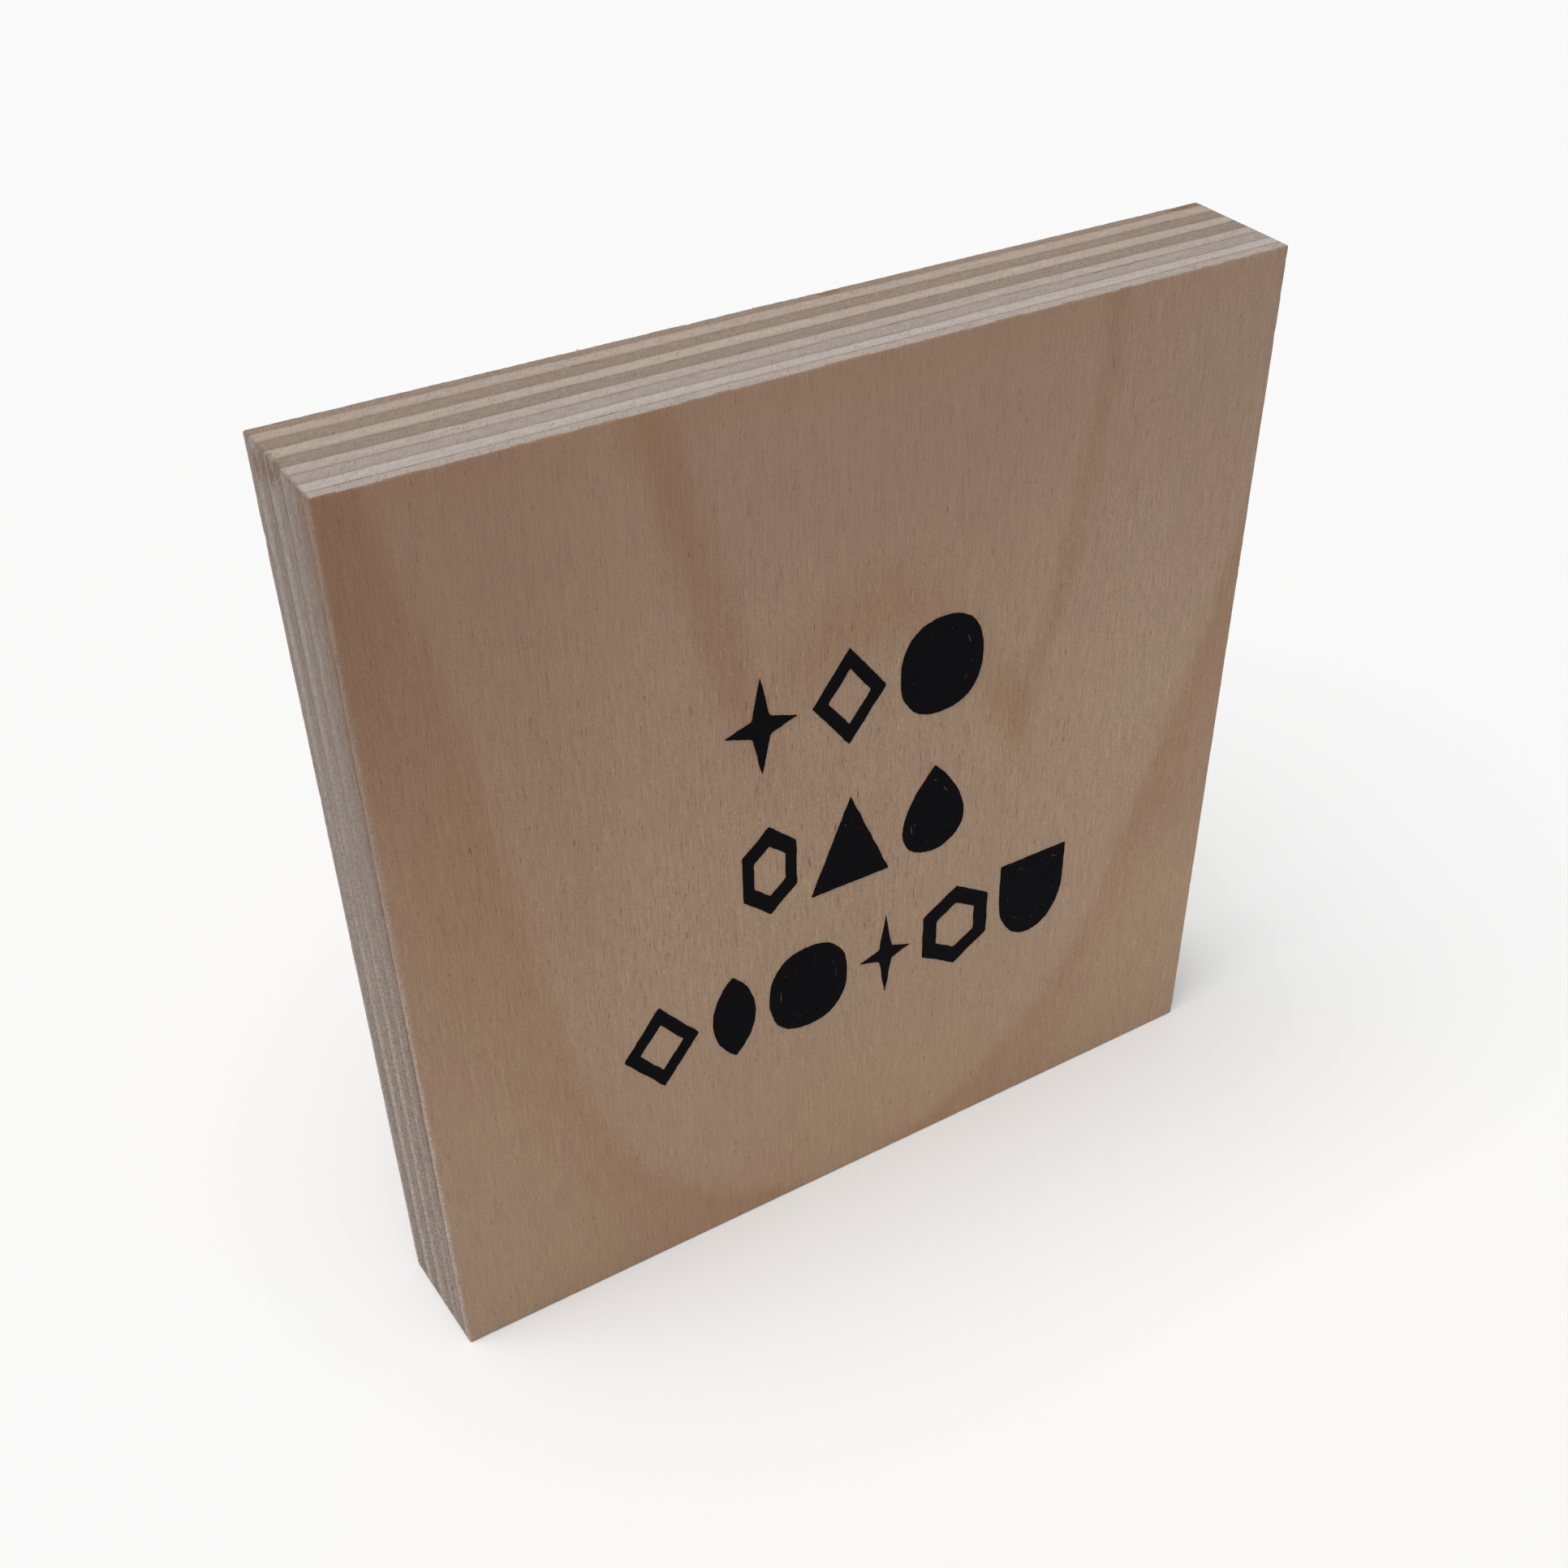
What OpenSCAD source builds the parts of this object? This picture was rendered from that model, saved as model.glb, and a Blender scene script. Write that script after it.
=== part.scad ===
// Free-standing square plaque, sawn from nine-ply board, with three rows of
// plain cut-film shapes on its front. Millimetres, +Z up, the front faces -Y,
// and the origin is the middle of the board's underside.

/* [Board] */
// Width of the plaque, left to right
plaque_w = 87; // [70:1:140]
// Height of the plaque
plaque_h = 87; // [70:1:140]

/* [Plies] */
// Thickness of the face veneer, grain upright
face_veneer_t = 0.9; // [0.5:0.1:1.5]
// Thickness of the back veneer, grain upright
back_veneer_t = 1; // [0.5:0.1:1.5]
// Thickness of the crossband behind the face veneer, grain left to right
first_crossband_t = 1.2; // [1:0.1:2.5]
// Thickness of each of the other three crossbands, grain left to right
crossband_t = 1.3; // [1:0.1:2.5]
// Thickness of each core ply, grain upright
core_t = 1.4; // [1:0.1:2.5]
// Thickness of the resin in each glue line
glue_t = 0.1; // [0.05:0.01:0.2]
// How far each glue line stays back from the sawn edges
glue_inset = 0.1; // [0.05:0.05:0.5]

/* [Film motif] */
// Height of one motif shape
motif_h = 9.6; // [7:0.1:11]
// Distance from one row of shapes to the next
row_pitch = 15.2; // [13:0.1:18]
// Bare wood between neighbouring shapes in a row
motif_gap = 1.5; // [0.8:0.1:2]
// How far the middle row sits below the middle of the board
motif_drop = 1.4; // [0:0.1:5]
// Thickness of the film
film_t = 0.1; // [0.05:0.01:0.2]
// Width of the cut around an island that was left in place
cut_w = 0.1; // [0.05:0.01:0.2]

/* [Hidden] */
NAME = 0;
SIZE = 1;
FORM = 2;

// Plies from front to back: node name, thickness
PLIES = [
    ["face_veneer", face_veneer_t],
    ["crossband_1", first_crossband_t],
    ["core_1", core_t],
    ["crossband_2", crossband_t],
    ["core_2", core_t],
    ["crossband_3", crossband_t],
    ["core_3", core_t],
    ["crossband_4", crossband_t],
    ["back_veneer", back_veneer_t],
];
GLUE_LINES = len(PLIES) - 1;

// Motif rows from top to bottom: shape, width as a share of motif_h, and form.
// A ring is open in the middle, an island shape keeps its middle as a second
// piece inside a hairline cut, and a solid shape is one plain piece.
ROWS = [
    [["star", 0.74, "solid"], ["tall_lozenge", 0.78, "ring"], ["pebble", 0.92, "island"]],
    [["slim_hexagon", 0.58, "ring"], ["triangle", 0.88, "island"], ["drop", 0.72, "island"]],
    [["lozenge", 0.80, "ring"], ["leaf", 0.48, "solid"], ["seed", 0.90, "island"],
     ["slim_star", 0.60, "solid"], ["hexagon", 0.80, "ring"], ["shield", 0.82, "island"]],
];
SHAPES = [for (row = ROWS) each row];
ISLANDS = [for (shape = SHAPES) if (shape[FORM] == "island") shape];

ring_share = 0.58;        // size of a ring's opening against its outline
island_share = 0.7;       // size of an island against its outline
curve_step = 10;          // degrees between the points of a round outline
pebble_power = 2.3;       // above 2 fills out the corners of an ellipse
star_waist = 0.35;        // a star's notches against its side tips
drop_belly = 0.65;        // fullness of a drop
drop_centre = 0.42;       // height of a drop's own centre
shield_centre = 0.58;     // height of a shield's own centre
shield_shoulder = 0.56;   // height where a shield's sides turn in

function total(list, count) = count == 0 ? 0 : list[count - 1][SIZE] + total(list, count - 1);
board_t = total(PLIES, len(PLIES)) + GLUE_LINES * glue_t;
function ply_front(i) = -board_t / 2 + total(PLIES, i) + i * glue_t;

// Outlines, w wide and h high, about the point that their openings and islands
// shrink towards
function rounded(value, power) = sign(value) * pow(abs(value), 2 / power);
function lozenge(w, h) = [[w / 2, 0], [0, h / 2], [-w / 2, 0], [0, -h / 2]];
function hexagon(w, h) = [
    for (side = [1, -1]) each
        [[side * w / 2, -side * h / 4], [side * w / 2, side * h / 4], [0, side * h / 2]]
];
function triangle(w, h) = [[w / 2, -h / 3], [0, 2 * h / 3], [-w / 2, -h / 3]];
function star(w, h) = [
    for (a = [0:90:270]) each [
        [w / 2 * cos(a), h / 2 * sin(a)],
        star_waist * w / 2 * [cos(a + 45), sin(a + 45)]
    ]
];
function pebble(w, h) = [
    for (a = [0:curve_step:359])
        [w / 2 * rounded(cos(a), pebble_power), h / 2 * rounded(sin(a), pebble_power)]
];
function drop(w, h) = [
    for (a = [0:curve_step:359])
        [w * drop_belly * sin(a) * sin(a / 2), h * (cos(a) / 2 + 0.5 - drop_centre)]
];
function leaf(w, h) =
    let (r = (h * h + w * w) / (4 * w), spread = asin(h / 2 / r))
    [for (side = [0, 180]) for (a = [-1:0.25:0.75])
        [cos(side) * (r * cos(a * spread) - r + w / 2), cos(side) * r * sin(a * spread)]];
function shield(w, h) = concat(
    [for (side = [1, -1]) [side * w / 2, h * (1 - shield_centre)]],
    [for (a = [180:curve_step:360])
        [w / 2 * cos(a), h * (shield_shoulder * (1 + sin(a)) - shield_centre)]]
);

function outline(name, w, h) =
    name == "triangle" ? triangle(w, h) :
    name == "drop" ? drop(w, h) :
    name == "leaf" ? leaf(w, h) :
    name == "shield" ? shield(w, h) :
    name == "star" || name == "slim_star" ? star(w, h) :
    name == "pebble" || name == "seed" ? pebble(w, h) :
    name == "hexagon" || name == "slim_hexagon" ? hexagon(w, h) :
    lozenge(w, h);

// Height of each outline's own centre above the foot of its row
function centre_z(name) = motif_h * (
    name == "triangle" ? 1 / 3 :
    name == "drop" ? drop_centre :
    name == "shield" ? shield_centre :
    0.5);

// Places along a row, which is centred on the board
function shape_w(shape) = shape[SIZE] * motif_h;
function run_w(row, count) = count == 0 ? 0 : total(row, count) * motif_h + count * motif_gap;
function shape_x(row, i) = run_w(row, i) + shape_w(row[i]) / 2 - (run_w(row, len(row)) - motif_gap) / 2;
function row_z(r) = plaque_h / 2 - motif_drop + (1 - r) * row_pitch - motif_h / 2;

module sheet(w, h, t) {
    translate([-w / 2, 0, 0]) cube([w, t, h]);
}

module wood_ply(i) {
    upright = i % 2 == 0;
    color(upright ? "tan" : "burlywood")
        translate([0, ply_front(i), 0]) sheet(plaque_w, plaque_h, PLIES[i][SIZE]);
}

module glue_line(i) {
    color("saddlebrown")
        translate([0, ply_front(i) - glue_t, glue_inset])
            sheet(plaque_w - 2 * glue_inset, plaque_h - 2 * glue_inset, glue_t);
}

// Stands a flat outline on the face, at its place in the rows
module on_face(r, i) {
    translate([shape_x(ROWS[r], i), -board_t / 2, row_z(r) + centre_z(ROWS[r][i][NAME])])
        rotate([90, 0, 0])
            linear_extrude(film_t) children();
}

module scaled_outline(shape, share) {
    polygon(share * outline(shape[NAME], shape_w(shape), motif_h));
}

module film_shape(r, i) {
    shape = ROWS[r][i];
    cut_share = island_share + 2 * cut_w / shape_w(shape);
    color("black") on_face(r, i)
        difference() {
            scaled_outline(shape, 1);
            if (shape[FORM] == "ring") scaled_outline(shape, ring_share);
            if (shape[FORM] == "island") scaled_outline(shape, cut_share);
        }
}

module film_island(r, i) {
    color("dimgray") on_face(r, i) scaled_outline(ROWS[r][i], island_share);
}

for (i = [0:len(PLIES) - 1])
    wood_ply(i);
for (i = [1:GLUE_LINES])
    glue_line(i);
for (r = [0:len(ROWS) - 1], i = [0:len(ROWS[r]) - 1])
    film_shape(r, i);
for (r = [0:len(ROWS) - 1], i = [0:len(ROWS[r]) - 1])
    if (ROWS[r][i][FORM] == "island")
        film_island(r, i);
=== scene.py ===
import math

import bmesh
import bpy
import numpy as np
from mathutils import Matrix, Vector
from mathutils.geometry import delaunay_2d_cdt


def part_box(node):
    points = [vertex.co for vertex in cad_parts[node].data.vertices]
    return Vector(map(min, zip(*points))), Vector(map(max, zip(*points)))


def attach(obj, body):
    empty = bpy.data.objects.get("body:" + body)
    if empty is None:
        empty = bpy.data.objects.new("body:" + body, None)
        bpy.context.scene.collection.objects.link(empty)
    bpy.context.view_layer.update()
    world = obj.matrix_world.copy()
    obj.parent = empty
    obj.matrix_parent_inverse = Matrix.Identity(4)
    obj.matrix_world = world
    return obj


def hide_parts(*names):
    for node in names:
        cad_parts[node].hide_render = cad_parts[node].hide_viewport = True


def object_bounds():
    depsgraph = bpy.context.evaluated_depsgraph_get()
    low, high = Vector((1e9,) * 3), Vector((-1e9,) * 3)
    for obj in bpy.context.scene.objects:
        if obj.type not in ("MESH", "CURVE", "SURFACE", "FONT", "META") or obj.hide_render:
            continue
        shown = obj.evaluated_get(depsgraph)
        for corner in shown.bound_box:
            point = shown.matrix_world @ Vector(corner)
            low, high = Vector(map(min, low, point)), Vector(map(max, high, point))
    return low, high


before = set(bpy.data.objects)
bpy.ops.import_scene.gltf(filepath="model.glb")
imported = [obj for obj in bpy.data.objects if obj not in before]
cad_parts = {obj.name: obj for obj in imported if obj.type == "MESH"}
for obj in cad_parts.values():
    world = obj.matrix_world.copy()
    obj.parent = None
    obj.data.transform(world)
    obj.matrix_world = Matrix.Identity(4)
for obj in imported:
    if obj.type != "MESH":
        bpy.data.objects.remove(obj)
cad_low, cad_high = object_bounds()

# Lengths are worked out in millimetres and become metres when a mesh is made.
MM = 0.001

PLIES = ["face_veneer", "crossband_1", "core_1", "crossband_2", "core_2",
         "crossband_3", "core_3", "crossband_4", "back_veneer"]
GLUE_LINES = [f"glue_line_{i}" for i in range(1, len(PLIES))]
FILM = sorted(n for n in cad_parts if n.startswith(("film_", "island_")))

# Sawn block
EDGE_STEP = 0.25          # spacing of the stations along a sawn edge
CORNER_STEPS = 4          # stations in half of a rounded corner
CORNER_R = 0.25           # how round the upright corners have worn
ARRIS_R = 0.24            # how round the arrises of face and back are sanded
ARRIS_STEPS = 4
PLY_STEPS = 8             # rings through the thickness of one ply
SAW_DEPTH = 0.035         # mean depth of the sawn surface under the nominal edge
RESIN_DEPTH = 0.014       # mean depth of the glue's edge under the sawn surface
CHIPS = 30                # places where fibres broke out of an arris
HIDDEN_RIM = 1.2          # width of the wavy rim of a glued, hidden surface
WAVE = 0.07               # how far a glue line strays from its nominal depth

# Cut film
FILM_T = 0.07             # film as pressed down
OUTLINE_STEP = 0.06       # spacing of the points along a cut edge
CUT_ROUNDING = 1.7        # how far corners are rounded, in outline steps
CUT_SHAKE = 0.035         # how far the knife strays
CUT_CLOSE = 0.047         # how far an island's cut has closed from each side
CUT_BEVEL = 0.03          # how far the cut edges are pressed down and rounded
CUT_BURR = 0.07           # how far burrs stand out where the knife crossed the grain

# Loose fibres and dust
FIBRE_R = 0.021           # thickest radius of a fibre 1 mm long
FIBRE_BOW = 0.09          # how far a fibre 1 mm long is bowed
BED_DEPTH = 0.01          # how far a fibre on a sawn edge lies under the sawn surface
MARGIN = 0.3              # bare strip along the arrises
INSIDE = 0.004            # how far all of it stays inside the block's nominal box

# Studio
CAMERA_AT = (-0.07943, -0.12447, 0.14797)
CAMERA_AIM = (-0.00130, -0.01545, 0.02854)
CAMERA_ROLL = 1.79        # degrees, right side up
LENS = 45.01
SHIFT = (-0.0743, 0.1465)
KEY_FROM = (-0.28, -0.12, 0.95)
KEY_STRENGTH = 2.75
SKY_STRENGTH = 0.2
BACKDROP = 0.92


# ------------------------------------------------------------ node trees
class Wire:
    """A socket that can stand in sums: an expression on it adds its Math nodes."""

    def __init__(self, tree, socket):
        self.tree, self.socket = tree, socket

    def maths(self, operation, *values):
        return self.tree.node("ShaderNodeMath", {"operation": operation}, dict(enumerate(values)))

    def __add__(self, other):
        return self.maths("ADD", self, other)

    def __radd__(self, other):
        return self.maths("ADD", other, self)

    def __sub__(self, other):
        return self.maths("SUBTRACT", self, other)

    def __rsub__(self, other):
        return self.maths("SUBTRACT", other, self)

    def __mul__(self, other):
        return self.maths("MULTIPLY", self, other)

    def __rmul__(self, other):
        return self.maths("MULTIPLY", other, self)

    def __truediv__(self, other):
        return self.maths("DIVIDE", self, other)

    def __pow__(self, other):
        return self.maths("POWER", self, other)

    def __rpow__(self, other):
        return self.maths("POWER", other, self)

    def __abs__(self):
        return self.maths("ABSOLUTE", self)


class Tree:
    """A node tree that is built by expressions."""

    def node(self, kind, settings=None, values=None, output=0):
        """Adds a node: its settings first, then the values or links of its sockets."""
        made = self.tree.nodes.new(kind)
        for key, value in (settings or {}).items():
            setattr(made, key, value)
        for key, value in (values or {}).items():
            self.feed(made.inputs[key], value)
        return Wire(self, made.outputs[output])

    def feed(self, socket, value):
        if isinstance(value, Wire):
            self.tree.links.new(value.socket, socket)
        else:
            socket.default_value = value


class Finish(Tree):
    """One material. Its x, y and z are places on the object in millimetres."""

    def __init__(self, name):
        self.material = bpy.data.materials.new(name)
        self.material.use_nodes = True
        self.tree = self.material.node_tree
        self.surface = self.tree.nodes["Principled BSDF"]
        place = self.node("ShaderNodeTexCoord", output="Object")
        self.place = self.node("ShaderNodeVectorMath", {"operation": "SCALE"},
                               {0: place, "Scale": 1 / MM})
        self.x, self.y, self.z = (
            self.node("ShaderNodeSeparateXYZ", None, {0: self.place}, output=k) for k in range(3))

    def noise(self, size, seed, detail=2, roughness=0.5, place=None):
        """Soft noise from 0 to 1, with blotches about size wide, in millimetres."""
        spread = self.node("ShaderNodeVectorMath", {"operation": "MULTIPLY_ADD"}, {
            0: place or self.place, 1: [1 / s for s in size], 2: (seed * 13.7, seed * 7.3, seed * 3.1)})
        return self.node("ShaderNodeTexNoise", None, {
            "Vector": spread, "Scale": 1, "Detail": detail, "Roughness": roughness})

    def rise(self, value, low, high):
        """0 below low, 1 above high, and smooth between them; low may be above high."""
        return self.node("ShaderNodeMapRange", {"interpolation_type": "SMOOTHSTEP"},
                         {0: value, 1: low, 2: high})

    def hump(self, value, middle, width):
        """1 where value is middle, falling smoothly to 0 at width to either side."""
        return self.rise(abs(value - middle), width, 0)

    def mix(self, share, first, second):
        """The first colour where share is 0 and the second where it is 1."""
        colours = [c if isinstance(c, Wire) else (*c, 1) for c in (first, second)]
        return self.node("ShaderNodeMix", {"data_type": "RGBA"},
                         {0: share, 6: colours[0], 7: colours[1]}, output=2)

    def tint(self, share, colour, factors):
        """A colour with its red, green and blue multiplied by factors where share is 1."""
        return self.mix(share, colour, self.node(
            "ShaderNodeVectorMath", {"operation": "MULTIPLY"}, {0: colour, 1: factors}))

    def shade(self, colour, light):
        """A colour made lighter or darker by a factor."""
        return self.node("ShaderNodeVectorMath", {"operation": "SCALE"}, {0: colour, "Scale": light})

    def mark(self, name):
        """A value that the mesh carries at its points."""
        return self.node("ShaderNodeAttribute", {"attribute_name": name}, output="Fac")

    def coat(self, colour, roughness, height, depth, gloss):
        """Joins the surface up: depth is the relief in millimetres for a height of 1."""
        self.feed(self.surface.inputs["Base Color"], colour)
        self.feed(self.surface.inputs["Roughness"], roughness)
        self.surface.inputs["Specular IOR Level"].default_value = gloss
        bump = self.node("ShaderNodeBump", None, {
            "Strength": 1, "Distance": depth * MM, "Height": height})
        self.feed(self.surface.inputs["Normal"], bump)
        return self.material


def summer_growth(wood):
    """Where the face veneer shows orange summer growth: a broad U with a smaller M-shaped figure
    inside it. Gives the distance outside the U's line, the legs of the M, the tone of the top
    left corner, and how orange the wood is in all."""
    x, z = wood.x, wood.z
    drift = (wood.noise((9, 9, 26), 1) - 0.5) * 2 + (wood.noise((0.7, 3, 11), 2) - 0.5) * 2.4
    bend = math.e ** ((z + 1) * -0.14)
    flank = 24 * (1 - bend) + 0.24 * z
    slope = 24 * 0.14 * bend + 0.24
    figure = (abs(x + 0.5 - 0.07 * z + drift) - flank) / (1 + slope * slope) ** 0.5
    patchy = 0.5 + wood.noise((4, 5, 14), 6)
    fading = 1 - wood.rise(x, 12, 34) * wood.rise(z, 34, 16) * 0.45
    band = figure / (1 + wood.rise(x, -24, -32) * wood.hump(z, 42, 26) * 0.35)
    ring = wood.rise(band, 9, 2) * 0.75 + wood.rise(band, 4, 1) * 0.25
    ring = ring * fading * wood.rise(figure, -0.9, 1.6)
    left_leg = wood.hump(x + drift * 0.6 + 18.5 - 0.26 * (87 - z), 0, 3.6) * wood.rise(z, 46, 62)
    lean = 0.05 * (87 - z) + 0.0036 * (87 - z) * (87 - z)
    right_leg = wood.hump(x + drift * 0.4 - 25.3 + lean, 0, 2.2) * wood.rise(z, 44, 54)
    crown = wood.hump(z + drift * 1.5 - 64.5 + 0.058 * (x - 1) ** 2, 0, 7)
    crown = crown * wood.rise(x, -12, -3) * wood.rise(x, 21, 17) * (patchy * 2 - 0.9)
    tip = wood.hump(x, 17.6, 3.4) * wood.hump(z, 51, 8)
    corner = wood.rise(x, -38.5, -42.5) * wood.rise(z, 55, 74)
    orange = ring * patchy + left_leg + right_leg * 0.55 + crown * 0.75 + tip * 0.35 + corner * 0.4
    return figure, left_leg, right_leg, corner, orange


def veneer_finish():
    """Rotary-cut face veneer: fine upright grain under soft bands of summer growth, and short
    dark pores and pale flecks that crowd round the motif; the flecks are painted brighter as glints."""
    wood = Finish("face veneer, sanded")
    x, z = wood.x, wood.z
    figure, left_leg, right_leg, corner, orange = summer_growth(wood)
    grain = wood.noise((0.13, 3, 3.2), 3, detail=3, roughness=0.65)
    streaks = wood.noise((0.45, 3, 16), 4, detail=3, roughness=0.6)
    bands = wood.noise((7, 9, 120), 5)
    cloud = wood.noise((20, 9, 26), 7)
    nap = wood.noise((0.09, 1, 0.16), 8, detail=1)

    crowd = wood.hump(x, 0, 54) * wood.hump(z, 42, 46)
    pores = wood.rise(wood.noise((0.1, 3, 1.4), 9, detail=1) + crowd * 0.06, 0.73, 0.79)
    # Painted highlight: pale flecks of fibre, made brighter as glints.
    shine = wood.rise(wood.noise((0.1, 3, 1.2), 11, detail=1) + crowd * 0.05, 0.72, 0.79)

    # Painted shade: the face's colour is darker towards the top, standing in for the light it gets
    # there.
    colour = wood.mix(wood.rise(z, 42, 84), (0.384, 0.264, 0.174), (0.333, 0.220, 0.150))
    colour = wood.tint(wood.rise(wood.noise((13, 9, 22), 12), 0.42, 0.62), colour, (1, 0.965, 0.985))
    # Painted shade: darker over the upper left of the face.
    colour = wood.tint(wood.rise(x, -12, -36) * wood.rise(z, 26, 56), colour, (0.94, 0.887, 0.874))
    colour = wood.tint(wood.rise(x, 12, 30) * wood.rise(figure, 2, -2), colour, (1.05, 1.07, 1.095))
    colour = wood.tint(wood.rise(figure, 1, 8), colour, (0.985, 0.955, 0.93))
    # Painted light: lighter low in the middle and at the lower corners, where light from the floor
    # falls on the face.
    colour = wood.tint(wood.rise(z, 26, 3) * wood.hump(x, 2, 34), colour, (1.085, 1.045, 1.005))
    colour = wood.tint(wood.rise(x, 20, 33) * wood.rise(z, 33, 18), colour, (1.08, 1.085, 1.08))
    colour = wood.tint(wood.rise(x, -34, -42) * wood.rise(z, 26, 12), colour, (1.01, 1.05, 1.06))
    colour = wood.tint(wood.rise(x, 24, 33) * wood.rise(z, 34, 48), colour, (1, 1.012, 1.025))
    colour = wood.tint(wood.rise(z, 82, 86), colour, (1, 0.965, 0.93))
    colour = wood.tint(orange, colour, (0.94, 0.855, 0.775))
    colour = wood.tint(corner, colour, (0.955, 0.965, 1))
    colour = wood.tint(pores, colour, (0.68, 0.54, 0.46))
    # Pale flecks, brightened as painted glints.
    colour = wood.tint(shine, colour, (1.3, 1.26, 1.15))
    strength = 0.74 + crowd * 0.36 + wood.rise(x, 14, 32) * 0.25 - wood.rise(z, 66, 80) * 0.16
    light = (1 + ((grain - 0.5) * 0.85 + (nap - 0.5) * 0.65) * strength
             + (streaks - 0.5) * 0.17 + (cloud - 0.5) * 0.06 + (bands - 0.5) * 0.07
             - left_leg * 0.025 - right_leg * 0.04)
    height = grain * 0.7 + streaks * 0.3 + nap * 0.2 - pores * 0.8
    return wood.coat(wood.shade(colour, light), 0.62 + (grain - 0.5) * 0.2, height, 0.02, 0.22)


def sawn_finish(name, seed, upright, top, foot, head, stain=0, flaws=()):
    """A ply's sawn edge: streaks where the saw ran with the grain, mottling across it, and the
    blade's slanting scratches over both. Its colours are for the top and underside, and for
    the foot and the head of the sides. The change from the foot's colour to the head's is painted
    light and shade: more light from the floor at the foot, and a sheen that changes with height.
    A flaw is a small brown spot: its x and z, how far it reaches along each, and how deep its colour
    is."""
    wood = Finish(name)
    through, end = wood.mark("through"), wood.mark("end_grain")
    side = 1 - end if upright else end
    slanted = wood.node("ShaderNodeCombineXYZ", None, {0: wood.mark("slant"), 1: wood.y})
    combed = wood.noise((0.6, 0.13, 6) if upright else (6, 0.13, 0.6), seed, 3, 0.6)
    streaks = wood.noise((2, 0.4, 30) if upright else (30, 0.4, 2), seed + 1)
    torn = wood.noise((0.16, 0.16, 3) if upright else (3, 0.16, 0.16), seed + 2, 3, 0.6)
    blotch = wood.noise((2.6, 0.7, 2.6), seed + 3)
    mottle = wood.noise((1.1, 0.35, 1.1), seed + 5, 3, 0.6)
    scratch = wood.noise((0.1, 0.8, 1), 90, 2, 0.6, slanted)
    stroke = wood.noise((0.4, 2, 1), 91, 2, 0.5, slanted)
    hair = wood.rise(wood.noise((0.07, 0.8, 1), 92, 1, 0.5, slanted), 0.66, 0.76)
    nick = wood.rise(wood.noise((0.1, 0.6, 1), 93, 1, 0.5, slanted), 0.66, 0.76)
    fuzz = wood.noise((0.09, 0.09, 0.09), 94, 1)
    rough = side * (2.7 - 1.4 * wood.rise(wood.z, 20, 75)) + (1 - side) * 0.35
    long_light = (combed - 0.5) * 0.26 + (streaks - 0.5) * 0.16
    end_light = (torn - 0.5) * 0.26 + (blotch - 0.5) * 0.16
    patches = (mottle - 0.5) * (0.46 + side * 0.3)
    rim = wood.rise(through, 0.36, 0.04) * wood.rise(mottle, 0.4, 0.62)
    light = (1 + long_light + (end_light - long_light) * end + patches
             + ((scratch - 0.5) * 0.8 + (stroke - 0.5) * 0.2 + hair * 0.22 - nick * 0.25
                + (fuzz - 0.5) * 0.5) * rough
             - rim * (0.08 + rough * 0.11))
    # Painted light and shade: the sides go from the foot's colour to the head's going up.
    colour = wood.mix(side, top, wood.mix(wood.rise(wood.z, 22, 74), foot, head))
    brown = (0.25, 0.145, 0.085)
    if stain:
        streak = wood.noise((2, 0.2, 3.2), seed + 4) + (scratch - 0.5) * 0.5 + (mottle - 0.5) * 0.3
        near = wood.rise(through, 1.2, 0.15) * side * wood.rise(wood.z, 9, 22)
        colour = wood.mix(wood.rise(streak, 0.36, 0.54) * near * stain, colour, brown)
    for x, z, reach_x, reach_z, depth in flaws:
        shape = ((wood.x - x) / reach_x) ** 2 + ((wood.z - z) / reach_z) ** 2
        shape = shape + ((through - 0.45) / 0.5) ** 2
        ragged = shape + (blotch - 0.5) * 1.6 + (scratch - 0.5) * 2.6 + (torn - 0.5)
        colour = wood.mix(wood.rise(ragged, 1.3, 0.1) * depth, colour, brown)
    height = torn * end * 0.6 + combed * 0.4 + scratch * rough + stroke * 0.5 + hair - nick * 0.7
    return wood.coat(wood.shade(colour, light), 0.78 + (torn - 0.5) * 0.1, height, 0.03, 0.12)


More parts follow.
